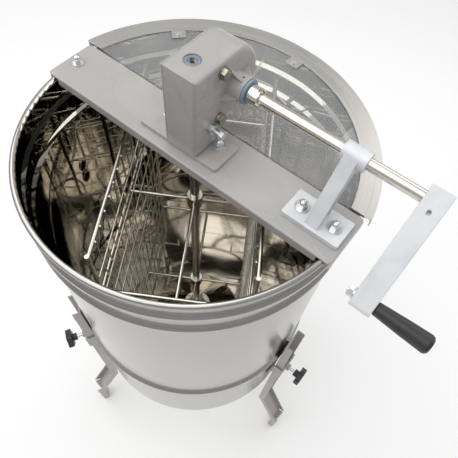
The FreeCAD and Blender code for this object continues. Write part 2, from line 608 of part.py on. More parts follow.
# ---------------------------------------------------------------- crank
def make_crank():
    """Sleeve, shaft, drive pin, arm, set screw, grip bolt, nut and grip."""
    inner = cylinder("sleeve_inner", "10", "boss_end + 6 + wheel_face / 2 + 3",
                     ("-wheel_face / 2 - 3", AXIS_Y, AXIS_Z), "X")
    outer = cylinder("sleeve_outer", "sleeve_radius", "sleeve_end - boss_end - 6",
                     ("boss_end + 6", AXIS_Y, AXIS_Z), "X")
    bore = cylinder("sleeve_bore", "crank_radius + fit", "sleeve_end - 10", ("12", AXIS_Y, AXIS_Z), "X")
    slot = box("sleeve_slot", ("9", "6", "30"),
               ("sleeve_end - 8", AXIS_Y + " - 3", AXIS_Z + " - 15"))
    ramp = box("sleeve_ramp", ("5", "14", "15"), ("sleeve_end - 4", AXIS_Y + " - 14", AXIS_Z))
    node("drive_sleeve", cut("drive_sleeve_solid", union("sleeve_blank", inner, outer), bore, slot, ramp))
    shaft = cylinder("crank_rod", "crank_radius", "arm_start + arm_width - 31", ("30", AXIS_Y, AXIS_Z), "X")
    pin_hole = cylinder("pin_hole", "2.5 + fit", "30", ("sleeve_end - 5", AXIS_Y, AXIS_Z + " - 15"))
    node("crank_shaft", cut("crank_shaft_solid", shaft, pin_hole))
    node("drive_pin", cylinder("drive_pin_rod", "2.5", "23", ("sleeve_end - 5", AXIS_Y, AXIS_Z + " - 11.5")))

    turn = FreeCAD.Rotation(V(1, 0, 0), size("arm_tilt") - 90)
    slab = plate("arm_slab", [
        ("-arm_half", "arm_top"), ("arm_half", "arm_top"), ("arm_half", "-40"),
        ("arm_half - 2", "-arm_reach - 9"), ("arm_half - 5", "-arm_reach - 13"),
        ("5 - arm_half", "-arm_reach - 13"), ("2 - arm_half", "-arm_reach - 9"), ("-arm_half", "-40")],
        "arm_width", "YZ_Plane")
    shaft_hole = cylinder("arm_shaft_hole", "crank_radius + fit", "arm_width", ("0", "0", "0"), "X")
    grip_hole = cylinder("arm_grip_hole", "4 + fit", "arm_width", ("0", "0", "-arm_reach"), "X")
    set_hole = cylinder("arm_set_hole", "2.6", "arm_half - 0.5",
                        ("arm_width / 2", "-arm_half - 1.5", "-arm_half - 1.5"), "slant")
    arm = cut("crank_arm_blank", slab, shaft_hole, grip_hole, set_hole)
    node("crank_arm", carried("crank_arm_turned", arm, turn))
    sunk = "-(crank_radius + 5) / sqrt(2)"
    screw = cylinder("set_screw_rod", "2.6 - fit", "4.7", ("arm_width / 2", sunk, sunk), "slant")
    socket = hexagon("set_screw_socket", "2.5", "2", ("arm_width / 2", sunk, sunk), "slant")
    node("arm_set_screw", carried("arm_set_screw_turned", cut("set_screw_solid", screw, socket), turn))

    shank = cylinder("grip_bolt_shank", "4", "arm_width + grip_length - 2", ("-10", "0", "-arm_reach"), "X")
    cap = cylinder("grip_bolt_cap", "6.5", "4", ("arm_width + grip_length - 12", "0", "-arm_reach"), "X")
    node("grip_bolt", carried("grip_bolt_turned", union("grip_bolt_solid", shank, cap), turn))
    washer = ring("grip_washer", "8", "4 + fit", "1.6", ("-1.6 - gap / 2", "0", "-arm_reach"), "X")
    hexa = hexagon("grip_nut_hex", "13", "6.5", ("-8.4 - gap", "0", "-arm_reach"), "X")
    nut_bore = cylinder("grip_nut_bore", "4 + fit", "6.5", ("-8.4 - gap", "0", "-arm_reach"), "X")
    node("grip_nut", carried("grip_nut_turned",
                             group("grip_nut_group", washer, cut("grip_nut_solid", hexa, nut_bore)), turn))
    handle = lathe("grip_body", [
        ("4 + 2 * fit", "0"), ("grip_small - 1", "0"), ("grip_small", "1.5"),
        ("(grip_small + grip_big) / 2 + 0.4", "grip_length / 2"), ("grip_big", "grip_length - 5"),
        ("grip_big - 0.8", "grip_length - 2"), ("grip_big - 3", "grip_length"), ("7.5", "grip_length"),
        ("7.5", "grip_length - 14"), ("4 + 2 * fit", "grip_length - 14")],
        ("arm_width + gap", "0", "-arm_reach"), "X")
    node("grip", carried("grip_turned", group("grip_held", handle), turn))


def carried(name, thing, turn):
    """A piece drawn about the crank's axis, set on it at the arm's rest angle."""
    copy = DOC.addObject("Part::Compound", name)
    copy.Links = [thing]
    return place(copy, ("arm_start", AXIS_Y, AXIS_Z), turn)


def make_pedestal():
    """The outer bearing stand on the crossbar and its bush."""
    low = BAR_TOP + " + gap"
    middle = "(pedestal_left + pedestal_right) / 2"
    foot = box("pedestal_foot", ("pedestal_right - pedestal_left", "2 * pedestal_half", "pedestal_thick"),
               ("pedestal_left", "-pedestal_half", low))
    foot_soft = rounded_edges("pedestal_foot_soft", foot, 3, lambda e: edge_runs(e, "Z"))
    rise = "rim_height + crank_rise"
    web = plate("pedestal_web", [
        ("-18", low + " + pedestal_thick - 1"), ("16", low + " + pedestal_thick - 1"),
        ("crank_offset + 8", rise + " - 8"), ("crank_offset - 6", rise + " + 10")],
        "9", "YZ_Plane", (middle, "0", "0"), midplane=True)
    flange = plate("pedestal_flange", [
        ("-20", low + " + pedestal_thick - 1"), ("-13", low + " + pedestal_thick - 1"),
        ("crank_offset - 5", rise + " + 3"), ("crank_offset - 11", rise + " + 8")],
        "19", "YZ_Plane", (middle, "0", "0"), midplane=True)
    rib = plate("pedestal_rib", [
        ("12", low + " + pedestal_thick - 1"), ("17", low + " + pedestal_thick - 1"),
        ("crank_offset + 9", rise + " - 8"), ("crank_offset + 4", rise + " - 8")],
        "17", "YZ_Plane", (middle, "0", "0"), midplane=True)
    boss_at = ("pedestal_boss_start", AXIS_Y, AXIS_Z)
    boss = cylinder("pedestal_boss", "pedestal_boss_radius", "pedestal_boss_length", boss_at, "X")
    tools = [cylinder("pedestal_bore", "bush_radius", "pedestal_boss_length", boss_at, "X")]
    for name, x in (("outer", "right_bolt_reach"), ("inner", "inner_bolt_reach")):
        tools.append(cylinder("pedestal_hole_" + name, "bolt_radius + fit", "20", (x, "0", low + " - 2")))
    node("shaft_pedestal",
         cut("shaft_pedestal_solid", union("pedestal_blank", foot_soft, web, flange, rib, boss), *tools))
    node("pedestal_bush",
         ring("pedestal_bush_ring", "bush_radius - fit", "crank_radius + fit", "pedestal_boss_length",
              boss_at, "X"))


# ---------------------------------------------------------------- cage
def caged(name, thing):
    """A piece of the cage, turned to the cage's rest angle."""
    copy = DOC.addObject("Part::Compound", name)
    copy.Links = [thing]
    copy.Placement = FreeCAD.Placement(V(), FreeCAD.Rotation(V(0, 0, 1), size("cage_turn")))
    return copy


def make_cage_shaft():
    """The upright shaft from the ball seat up through both bearings."""
    step = AXIS_Z + " - pinion_face / 2 - fit"
    node("cage_shaft", lathe("cage_shaft_body", [
        ("0", SHAFT_FOOT), ("3", SHAFT_FOOT), ("shaft_radius", SHAFT_FOOT + " + 5"), ("shaft_radius", step),
        ("spindle_radius", step), ("spindle_radius", BOX_TOP + " - 4"), ("0", BOX_TOP + " - 4")]))


def make_spider(label, drop):
    """A hub with four arms and the two end rails that the arms carry."""
    middle = "rim_height - %s" % drop
    hub = cylinder(label + "_hub", "hub_radius", "hub_length", ("0", "0", middle + " - hub_length / 2"))
    reach_y = "basket_offset - rod_radius - gap"
    arms = [cylinder(label + "_arm_x", "rod_radius", "2 * basket_half", ("-basket_half", "0", middle), "X"),
            cylinder(label + "_arm_y", "rod_radius", "2 * (%s)" % reach_y,
                     ("0", "-(%s)" % reach_y, middle), "Y")]
    rails = [cylinder("%s_rail_%s" % (label, side), "rod_radius + 0.3", "2 * (%s)" % reach_y,
                      (x, "-(%s)" % reach_y, middle), "Y")
             for side, x in (("near", "basket_half"), ("far", "-basket_half"))]
    bore = cylinder(label + "_bore", "shaft_radius + fit", "hub_length",
                    ("0", "0", middle + " - hub_length / 2"))
    solid = cut(label + "_solid", union(label + "_blank", hub, *(arms + rails)), bore)
    node(label, caged(label + "_turned", solid))


def make_basket(label, side):
    """A rod frame, the hooks under it that the combs stand on, and the mesh of wires on its inner face."""
    y = "%d * basket_offset" % side
    low, high = "rim_height - basket_bottom_drop", "rim_height - basket_top_drop"
    tall = "(basket_bottom_drop - basket_top_drop)"
    rods = []
    for name, z in (("low", low), ("high", high), ("upper", "rim_height - upper_arm_drop"),
                    ("lower", "rim_height - lower_arm_drop")):
        rods.append(cylinder("%s_rail_%s" % (label, name), "rod_radius", "2 * basket_half",
                             ("-basket_half", y, z), "X"))
    for name, x in (("near", "basket_half"), ("far", "-basket_half")):
        rods.append(cylinder("%s_post_%s" % (label, name), "rod_radius + 0.3", tall + " + 4 * rod_radius",
                             (x, y, low + " - 2 * rod_radius")))
    columns = int(round(2 * size("basket_half") / size("mesh_pitch")))
    hooks = []
    for i, between in enumerate((1.5, 5.5, 9.5, 13.5)):
        x = "basket_half * (2 * %s / %d - 1)" % (between, columns)
        start = "%s - %s" % (y, "cradle_depth" if side > 0 else "rod_radius")
        tip = "%s - %d * cradle_depth" % (y, side)
        under = low + " - rod_radius - 2 - fit"
        shelf = cylinder("%s_shelf_%d" % (label, i), "2", "cradle_depth + rod_radius", (x, start, under), "Y")
        lip = cylinder("%s_lip_%d" % (label, i), "2.3", "cradle_lip", (x, tip, under + " - 3"))
        hooks.append(union("%s_hook_%d" % (label, i), shelf, lip))
    wires = []
    upright_y = "%d * (basket_offset - rod_radius - wire_radius - fit)" % side
    level_y = "%d * (basket_offset - rod_radius - 3 * wire_radius - 2 * fit)" % side
    for i in range(1, columns):
        wires.append(cylinder("%s_upright_%d" % (label, i), "wire_radius", tall + " + 2 * rod_radius",
                              ("basket_half * (%d / %d - 1)" % (2 * i, columns), upright_y,
                               low + " - rod_radius")))
    rows = int(round((size("basket_bottom_drop") - size("basket_top_drop")) / size("mesh_rise")))
    for i in range(1, rows):
        wires.append(cylinder("%s_level_%d" % (label, i), "wire_radius", "2 * basket_half + 2 * rod_radius",
                              ("-basket_half - rod_radius", level_y,
                               low + " + %s * %d / %d" % (tall, i, rows)),
                              "X"))
    frame = union(label + "_frame", *rods)
    node(label, caged(label + "_turned", group(label + "_solids", frame, *hooks, *wires)))


# ---------------------------------------------------------------- legs
def make_leg(side, azimuth):
    """A folded channel leg, its strap on the tank, the clamp screw, knob and stop bolt."""
    turn = FreeCAD.Rotation(V(0, 0, 1), azimuth)
    back = "tank_radius + bead_swell + 2"
    top = "rim_height - leg_top_drop"
    low = back + " + leg_splay"

    def channel(name, width, inner, outer):
        """A folded channel from its side view's inner and outer corners, its web toward the tank."""
        whole = plate(name + "_block", inner("0") + outer("leg_depth")[::-1], width,
                      "XZ_Plane", midplane=True, turn=turn)
        hollow = plate(name + "_hollow", inner("leg_sheet") + outer("leg_depth + 8")[::-1],
                       width + " - 2 * leg_sheet", "XZ_Plane", midplane=True, turn=turn)
        return cut(name, whole, hollow)

    def long_inner(out):
        return [("%s + %s" % (low, out), "leg_knee"), ("%s + %s" % (back, out), "leg_kink"),
                ("%s + %s" % (back, out), top)]

    def long_outer(out):
        return [("%s + %s" % (low, out), "leg_knee + 6"), ("%s + %s" % (back, out), "leg_kink + 4"),
                ("%s + %s" % (back, out), top)]

    def shoe_side(out):
        return [("%s + %s" % (low, out), "0"), ("%s + %s" % (low, out), "leg_knee + 5")]

    long_part = channel("leg_long_" + side, "leg_width", long_inner, long_outer)
    shoe = channel("leg_shoe_" + side, "shoe_width", shoe_side, shoe_side)
    stop_hole = radial("leg_stop_hole_" + side, "4 + fit", "20", (back + " - 5", "stop_height"), azimuth)
    node("leg_" + side, cut("leg_%s_solid" % side, union("leg_blank_" + side, long_part, shoe), stop_hole))

    strap_low = "rim_height - strap_drop - strap_height"
    span = "leg_width + 1 + 2 * strap_sheet"
    outer = radial_box("strap_block_" + side, ("leg_depth + 6 + strap_sheet + 1", span, "strap_height"),
                       (back + " - 6 + gap", "-(%s) / 2" % span, strap_low), azimuth)
    wings = radial_box("strap_wings_" + side, ("2.5", span + " + 2 * strap_wing", "strap_height"),
                       ("tank_radius + 0.8", "-(%s) / 2 - strap_wing" % span, strap_low), azimuth)
    nut = radial("strap_nut_" + side, "8", "7",
                 (back + " + leg_depth + strap_sheet + 1", strap_low + " + strap_height / 2"), azimuth)
    inside = radial_box("strap_inside_" + side, ("leg_depth + 7 - gap", "leg_width + 1", "strap_height + 2"),
                        (back + " - 6", "-leg_width / 2 - 0.5", strap_low + " - 1"), azimuth)
    thread = radial("strap_thread_" + side, "4 + fit", "40", (back, strap_low + " + strap_height / 2"),
                    azimuth)
    curve = cylinder("strap_curve_" + side, "tank_radius + gap", "strap_height + 2",
                     ("0", "0", strap_low + " - 1"))
    node("leg_strap_" + side,
         cut("leg_strap_%s_solid" % side, union("strap_blank_" + side, outer, wings, nut),
             inside, thread, curve))

    middle = strap_low + " + strap_height / 2"
    screw = radial("clamp_rod_" + side, "4", "knob_reach", (back + " + leg_sheet + gap", middle), azimuth)
    node("clamp_screw_" + side, screw)
    start = back + " + leg_sheet + knob_reach - 14"
    hub = radial("knob_hub_" + side, "8.5", "22", (start, middle), azimuth)
    disc = radial("knob_disc_" + side, "knob_radius - 4", "12", (start + " + 10", middle), azimuth)
    lobes = []
    for i in range(5):
        lobe = DOC.addObject("Part::Cylinder", "knob_lobe_%s_%d" % (side, i))
        lobe.setExpression("Radius", formula("knob_radius / 3"))
        lobe.Height = 12
        angle = 72 * i
        out = size("knob_radius") * 2 / 3 + 0.5
        spot = V(0, out * math.cos(math.radians(angle)), out * math.sin(math.radians(angle)))
        lobes.append((lobe, spot))
    placed = []
    for lobe, spot in lobes:
        lobe.Placement = FreeCAD.Placement(turn.multVec(V(0, spot.y, spot.z)), turn.multiply(TURNS["X"]))
        placed.append(lobe)
    lobes_group = DOC.addObject("Part::MultiFuse", "knob_lobes_" + side)
    lobes_group.Shapes = placed
    reach = "(%s + 10)" % start
    place(lobes_group, ("%s * cos(%d)" % (reach, azimuth), "%s * sin(%d)" % (reach, azimuth), middle))
    bore = radial("knob_bore_" + side, "4 + fit", "16", (start + " - 1", middle), azimuth)
    node("clamp_knob_" + side, cut("clamp_knob_%s_solid" % side,
                                   union("knob_blank_" + side, hub, disc, lobes_group), bore))

    head = radial("stop_head_" + side, "7", "4", (back + " + leg_sheet + gap", "stop_height"), azimuth)
    shank = radial("stop_shank_" + side, "4", "leg_sheet + 2 * gap + 0.5",
                   (back + " - gap / 2", "stop_height"), azimuth)
    node("stop_bolt_" + side, union("stop_bolt_%s_solid" % side, head, shank))


def radial(name, radius, length, at, azimuth):
    """A cylinder that points straight out from the tank's axis; at is (distance out, height)."""
    out, height = at
    thing = DOC.addObject("Part::Cylinder", name)
    thing.setExpression("Radius", formula(radius))
    thing.setExpression("Height", formula(length))
    turn = FreeCAD.Rotation(V(0, 0, 1), azimuth).multiply(TURNS["X"])
    return place(thing, ("(%s) * cos(%d)" % (out, azimuth), "(%s) * sin(%d)" % (out, azimuth), height), turn)


def radial_box(name, dims, at, azimuth):
    """A box drawn for a leg at azimuth 0 and turned with it; at is its low corner."""
    out, across, height = at
    thing = box(name, dims)
    base_x = "(%s) * cos(%d) - (%s) * sin(%d)" % (out, azimuth, across, azimuth)
    base_y = "(%s) * sin(%d) + (%s) * cos(%d)" % (out, azimuth, across, azimuth)
    return place(thing, (base_x, base_y, height), FreeCAD.Rotation(V(0, 0, 1), azimuth))


# ---------------------------------------------------------------- lid
def make_lid():
    """The rear half lid: a clear sheet on the rim under a steel ring with three tabs."""
    low = "rim_height + rim_roll + gap"
    high = low + " + window_thick + gap"
    span = "2 * lid_radius + 10"
    window = cylinder("window_disc", "lid_radius - 10", "window_thick", ("0", "0", low))
    half = box("window_cut", (span, span, "40"),
               ("-lid_radius - 5", "lid_front - (%s)" % span, low + " - 20"))
    tabs_at = (35, 86, 137)
    holes = [radial_upright("window_hole_%d" % a, "2.1", "20", "lid_radius - lid_ring - tab_reach + 8",
                            low + " - 5", a)
             for a in tabs_at]
    sinks = [radial_upright("window_sink_%d" % a, "4.2", "1.5", "lid_radius - lid_ring - tab_reach + 8",
                            low, a)
             for a in tabs_at]
    node("lid_window", cut("lid_window_solid", window, half, *holes, *sinks))

    plate_out = cylinder("lid_plate", "lid_radius", "lid_sheet", ("0", "0", high))
    plate_in = cylinder("lid_hole", "lid_radius - lid_ring", "lid_sheet", ("0", "0", high))
    skirt_out = cylinder("skirt_outside", "lid_radius", "lid_skirt",
                         ("0", "0", high + " + lid_sheet - lid_skirt"))
    skirt_in = cylinder("skirt_inside", "lid_radius - lid_sheet", "lid_skirt",
                        ("0", "0", high + " + lid_sheet - lid_skirt"))
    flat = cut("lid_flat", plate_out, plate_in)
    skirt = cut("lid_skirt_ring", skirt_out, skirt_in)
    tabs = []
    for a in tabs_at:
        tabs.append(radial_box("lid_tab_%d" % a, ("tab_reach + 4", "tab_width", "lid_sheet"),
                               ("lid_radius - lid_ring - tab_reach", "-tab_width / 2", high), a))
    cutter = box("lid_cut", (span, span, "60"), ("-lid_radius - 5", "lid_front - (%s)" % span, low + " - 30"))
    ring_holes = [radial_upright("tab_hole_%d" % a, "2.1", "20", "lid_radius - lid_ring - tab_reach + 8",
                                 low + " - 5", a)
                  for a in tabs_at]
    node("lid_ring", cut("lid_ring_solid", union("lid_ring_blank", flat, skirt, *tabs), cutter, *ring_holes))
    rivets = []
    for a in tabs_at:
        out = "lid_radius - lid_ring - tab_reach + 8"
        shank = radial_upright("rivet_shank_%d" % a, "2", "window_thick + lid_sheet + 2 * gap", out,
                               low + " + gap / 2", a)
        head = radial_upright("rivet_head_%d" % a, "4.5", "2", out, high + " + lid_sheet + gap / 2", a)
        tail = radial_upright("rivet_tail_%d" % a, "4", "1.2", out, low + " + gap / 2", a)
        rivets.append(union("rivet_%d" % a, shank, head, tail))
    node("lid_rivets", group("lid_rivets_group", *rivets))


def radial_upright(name, radius, length, out, height, azimuth):
    """An upright cylinder at a distance out from the axis."""
    return cylinder(name, radius, length,
                    ("(%s) * cos(%d)" % (out, azimuth), "(%s) * sin(%d)" % (out, azimuth), height))


# ---------------------------------------------------------------- build and write
def check_document():
    """Stop if any object failed or any node has no valid solid."""
    DOC.recompute()
    bad = [thing.Name for thing in DOC.Objects if "Invalid" in thing.State or "Error" in thing.State]
    if bad:
        raise RuntimeError("objects in error: %s" % bad)
    for label, thing in NODES:
        shape = thing.Shape
        if shape.isNull() or not shape.isValid() or not shape.Solids:
            raise RuntimeError("node %s has no valid solid" % label)


def write_parts():
    """One STEP file for each node."""
    os.makedirs("parts", exist_ok=True)
    for label, thing in NODES:
        thing.Shape.exportStep("parts/%s.step" % label)
        print("%-22s %2d solid(s) %10.0f mm3" % (label, len(thing.Shape.Solids), thing.Shape.Volume))


def main():
    make_tank()
    make_honey_gate()
    make_crossbar()
    make_bar_fasteners()
    make_gearbox()
    make_gearbox_small_parts()
    make_gears()
    make_crank()
    make_pedestal()
    make_cage_shaft()
    make_spider("upper_spider", "upper_arm_drop")
    make_spider("lower_spider", "lower_arm_drop")
    make_basket("basket_right", 1)
    make_basket("basket_left", -1)
    for side, azimuth in (("right", 0), ("rear", 120), ("left", -120)):
        make_leg(side, azimuth)
    make_lid()
    check_document()
    write_parts()


main()
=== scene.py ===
# %% [markdown]
# # A hand-cranked honey extractor, finished in Blender
# The machine spins honeycomb in a steel tank so that the honey flies out against the wall.  The
# shapes, sizes and moving parts are already made as solids, and this file gives them their looks:
# steel that is brushed outside and polished inside, grey enamel, raw castings, a clear lid, and the
# small turned, threaded and welded details that are too fine for the solids.
#
# The first cell loads the solids as a fixed frame.  Everything here is in metres, with +Z up, the
# cage's axis at the origin and the floor at height 0.

# %% Load the frame
import math

import bmesh
import bpy
from mathutils import Matrix, Vector, noise


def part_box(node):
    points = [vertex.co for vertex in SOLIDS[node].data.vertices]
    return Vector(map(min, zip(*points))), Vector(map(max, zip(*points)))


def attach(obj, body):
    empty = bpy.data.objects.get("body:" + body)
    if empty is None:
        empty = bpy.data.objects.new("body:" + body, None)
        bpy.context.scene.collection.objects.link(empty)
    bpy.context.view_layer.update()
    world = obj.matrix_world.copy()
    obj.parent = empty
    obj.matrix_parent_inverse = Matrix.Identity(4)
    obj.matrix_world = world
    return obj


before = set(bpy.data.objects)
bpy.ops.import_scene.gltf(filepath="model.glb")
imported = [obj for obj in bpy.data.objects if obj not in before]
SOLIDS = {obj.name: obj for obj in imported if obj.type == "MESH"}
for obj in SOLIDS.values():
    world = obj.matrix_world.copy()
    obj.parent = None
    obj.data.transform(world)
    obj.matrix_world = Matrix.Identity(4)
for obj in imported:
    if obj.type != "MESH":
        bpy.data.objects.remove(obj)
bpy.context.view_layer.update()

# %% [markdown]
# ## Landmarks
# Every detail is placed from a solid's own box, so that it follows if a size changes.  The rim's
# height, the tank's radius and the top bearing's height are the starting points.

# %% Measure the landmarks
WINDOW_OVER_RIM = 0.0048    # the lid's sheet lies this far above the rim
BOTTOM_INSET = 0.0018       # the bottom disc stops this far inside the tank's outer face
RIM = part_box("lid_window")[0].z - WINDOW_OVER_RIM
TANK_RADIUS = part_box("tank_bottom")[1].x + BOTTOM_INSET
BEARING_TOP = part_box("cage_bearings")[1].z
print("rim", round(RIM, 4), "tank radius", round(TANK_RADIUS, 4), "bearing", round(BEARING_TOP, 4))

# %% [markdown]
# ## Shader helpers
# A material here is a small wiring diagram.  `put` adds one node and fills its sockets, either with
# a number or with another node's output, which keeps each material short enough to read.


# %% Helpers for wiring nodes
def put(tree, kind, inputs=None, **settings):
    """Add a node, set its own settings, and fill its inputs with values or with other outputs."""
    made = tree.nodes.new(kind)
    for key, value in settings.items():
        setattr(made, key, value)
    for key, value in (inputs or {}).items():
        socket = made.inputs[key]
        if isinstance(value, bpy.types.NodeSocket):
            tree.links.new(value, socket)
        else:
            socket.default_value = value
    return made


def sums(tree, operation, first, second=0.0):
    """One Math node's result."""
    return put(tree, "ShaderNodeMath", {0: first, 1: second}, operation=operation).outputs[0]


def spread(tree, value, low, high, new_low=0.0, new_high=1.0):
    """Stretch a range of values onto another, clamped at both ends."""
    return put(tree, "ShaderNodeMapRange", {"Value": value, "From Min": low, "From Max": high,
                                            "To Min": new_low, "To Max": new_high}).outputs["Result"]


def blend_colour(tree, mask, first, second):
    """The first colour where the mask is 0 and the second where it is 1."""
    made = put(tree, "ShaderNodeMix", data_type="RGBA")
    for socket, value in ((made.inputs[0], mask), (made.inputs[6], first), (made.inputs[7], second)):
        if isinstance(value, bpy.types.NodeSocket):
            tree.links.new(value, socket)
        else:
            socket.default_value = value if isinstance(value, float) else (*value, 1.0)
    return made.outputs[2]


def own_place(tree):
    """Where a point of the surface lies, in the frame's own coordinates."""
    return put(tree, "ShaderNodeTexCoord").outputs["Object"]


def stretched(tree, scale):
    """The frame's own coordinates, stretched along each axis."""
    return put(tree, "ShaderNodeMapping", {"Vector": own_place(tree), "Scale": scale}).outputs["Vector"]


def ringed(tree, across, fine):
    """Coordinates that run slowly round the cage's axis and fast along the radius, for turned discs."""
    place = own_place(tree)
    parts = put(tree, "ShaderNodeSeparateXYZ", {"Vector": place})
    flat = put(tree, "ShaderNodeCombineXYZ", {"X": parts.outputs["X"], "Y": parts.outputs["Y"]})
    radius = put(tree, "ShaderNodeVectorMath", {0: flat.outputs[0]}, operation="LENGTH").outputs["Value"]
    return put(tree, "ShaderNodeCombineXYZ", {
        "X": sums(tree, "MULTIPLY", parts.outputs["X"], across),
        "Y": sums(tree, "MULTIPLY", parts.outputs["Y"], across),
        "Z": sums(tree, "MULTIPLY", radius, fine)}).outputs[0]


def new_finish(name, colour, metallic=0.0, roughness=0.4):
    """A new material with its shader's plain values set."""
    finish = bpy.data.materials.new(name)
    finish.use_nodes = True
    shader = finish.node_tree.nodes["Principled BSDF"]
    shader.inputs["Base Color"].default_value = (*colour, 1.0)
    shader.inputs["Metallic"].default_value = metallic
    shader.inputs["Roughness"].default_value = roughness
    return finish, finish.node_tree, shader


def new_group(name, inputs, outputs):
    """An empty node group with named sockets; an input is (name, kind, value)."""
    group = bpy.data.node_groups.new(name, "ShaderNodeTree")
    for label, kind, value in inputs:
        socket = group.interface.new_socket(label, in_out="INPUT", socket_type=kind)
        if value is not None:
            socket.default_value = value
    for label, kind in outputs:
        group.interface.new_socket(label, in_out="OUTPUT", socket_type=kind)
    return group, group.nodes.new("NodeGroupInput"), group.nodes.new("NodeGroupOutput")


def use(tree, group, inputs):
    """Place a group in a material, with its own values."""
    made = tree.nodes.new("ShaderNodeGroup")
    made.node_tree = group
    for key, value in inputs.items():
        if isinstance(value, bpy.types.NodeSocket):
            tree.links.new(value, made.inputs[key])
        else:
            made.inputs[key].default_value = value
    return made


def graded(tree, grain, low, high):
    """Grain noise mostly lies between 0.3 and 0.7; this stretches it onto a finish's own range."""
    return spread(tree, grain.outputs["Grain"], 0.3, 0.7, low, high)


def raise_surface(tree, shader, height, depth, normal=None):
    """Feed a height into the shader's normal; depth is in metres."""
    inputs = {"Height": height, "Distance": depth, "Strength": 1.0}
    if normal is not None:
        inputs["Normal"] = normal
    bump = put(tree, "ShaderNodeBump", inputs)
    tree.links.new(bump.outputs["Normal"], shader.inputs["Normal"])


# %% [markdown]
# ## Effects that several finishes share
# *Drawn grain* is the fine streaking that rolling and brushing leave in sheet steel.  It is noise
# read through stretched coordinates, so the same group makes rings, hoops or straight lines.
#
# *Handling marks* are the soft patches left by hands, water and cloths.  *Hair scratches* are thin
# curved lines: a smooth noise crosses its middle value along a thin line, and only that line is kept.
#
# *Rubbed edges* compares the true surface with a softly bevelled one.  They differ only near an
# edge, which is where paint wears, and the bevelled normal also gives each sharp solid a fine radius
# that catches the light.

# %% Build the shared effect groups
FLOAT, VECTOR = "NodeSocketFloat", "NodeSocketVector"

GRAIN, source, sink = new_group("Drawn grain", [("Position", VECTOR, None)], [("Grain", FLOAT)])
streaks = put(GRAIN, "ShaderNodeTexNoise", {"Vector": source.outputs["Position"], "Detail": 3.0,
                                            "Scale": 1.0, "Roughness": 0.65})
GRAIN.links.new(streaks.outputs["Fac"], sink.inputs["Grain"])

MARKS, source, sink = new_group("Handling marks", [("Position", VECTOR, None), ("Size", FLOAT, 6.0)],
                                [("Mask", FLOAT)])
patches = put(MARKS, "ShaderNodeTexNoise", {"Vector": source.outputs["Position"], "Detail": 5.0,
                                            "Scale": source.outputs["Size"], "Distortion": 0.8})
MARKS.links.new(spread(MARKS, patches.outputs["Fac"], 0.45, 0.72), sink.inputs["Mask"])

SCRATCHES, source, sink = new_group("Hair scratches", [("Position", VECTOR, None), ("Size", FLOAT, 8.0),
                                                       ("Thinness", FLOAT, 0.004)], [("Mask", FLOAT)])
lines = []
for turn, stretch in ((0.4, 0.25), (1.5, 0.3), (2.4, 0.2)):
    turned = put(SCRATCHES, "ShaderNodeMapping", {"Vector": source.outputs["Position"],
                                                  "Rotation": (0.0, 0.0, turn), "Scale": (1.0, stretch, 1.0)})
    smooth = put(SCRATCHES, "ShaderNodeTexNoise", {"Vector": turned.outputs[0], "Detail": 0.5,
                                                   "Scale": source.outputs["Size"]})
    away = sums(SCRATCHES, "ABSOLUTE", sums(SCRATCHES, "SUBTRACT", smooth.outputs["Fac"], 0.5))
    line = put(SCRATCHES, "ShaderNodeMapRange", {"Value": away, "From Min": 0.0, "To Min": 1.0, "To Max": 0.0,
                                                 "From Max": source.outputs["Thinness"]})
    gaps = put(SCRATCHES, "ShaderNodeTexNoise", {"Vector": turned.outputs[0], "Scale": 9.0 + 3 * turn})
    kept = spread(SCRATCHES, gaps.outputs["Fac"], 0.58, 0.64)
    lines.append(sums(SCRATCHES, "MULTIPLY", line.outputs[0], kept))
both = sums(SCRATCHES, "MAXIMUM", lines[0], lines[1])
SCRATCHES.links.new(sums(SCRATCHES, "MAXIMUM", both, lines[2]), sink.inputs["Mask"])

EDGES, source, sink = new_group("Rubbed edges", [("Width", FLOAT, 0.0012)],
                                [("Mask", FLOAT), ("Soft normal", VECTOR)])
softened = put(EDGES, "ShaderNodeBevel", {"Radius": source.outputs["Width"]}, samples=4)
true_normal = put(EDGES, "ShaderNodeNewGeometry").outputs["Normal"]
same = put(EDGES, "ShaderNodeVectorMath", {0: softened.outputs[0], 1: true_normal}, operation="DOT_PRODUCT")
EDGES.links.new(spread(EDGES, same.outputs["Value"], 0.985, 0.80), sink.inputs["Mask"])
EDGES.links.new(softened.outputs[0], sink.inputs["Soft normal"])
print("effect groups:", [g.name for g in bpy.data.node_groups])

# %% [markdown]
# ## Tank steel
# The tank is rolled from one stainless sheet.  Outside it keeps a fine grain that runs round the
# tank.  Inside it is polished like a mirror, because honey must slide off it, so the cage and the
# beads are reflected again and again and the deep parts go dark and golden.  One solid has both
# faces, so the surface's own direction chooses: where it looks back towards the axis, it is inside.


# %% Tank steel, brushed outside and polished inside
GRAIN_ALONG, GRAIN_ACROSS = 5.0, 420.0     # how often sheet grain changes in a metre, each way


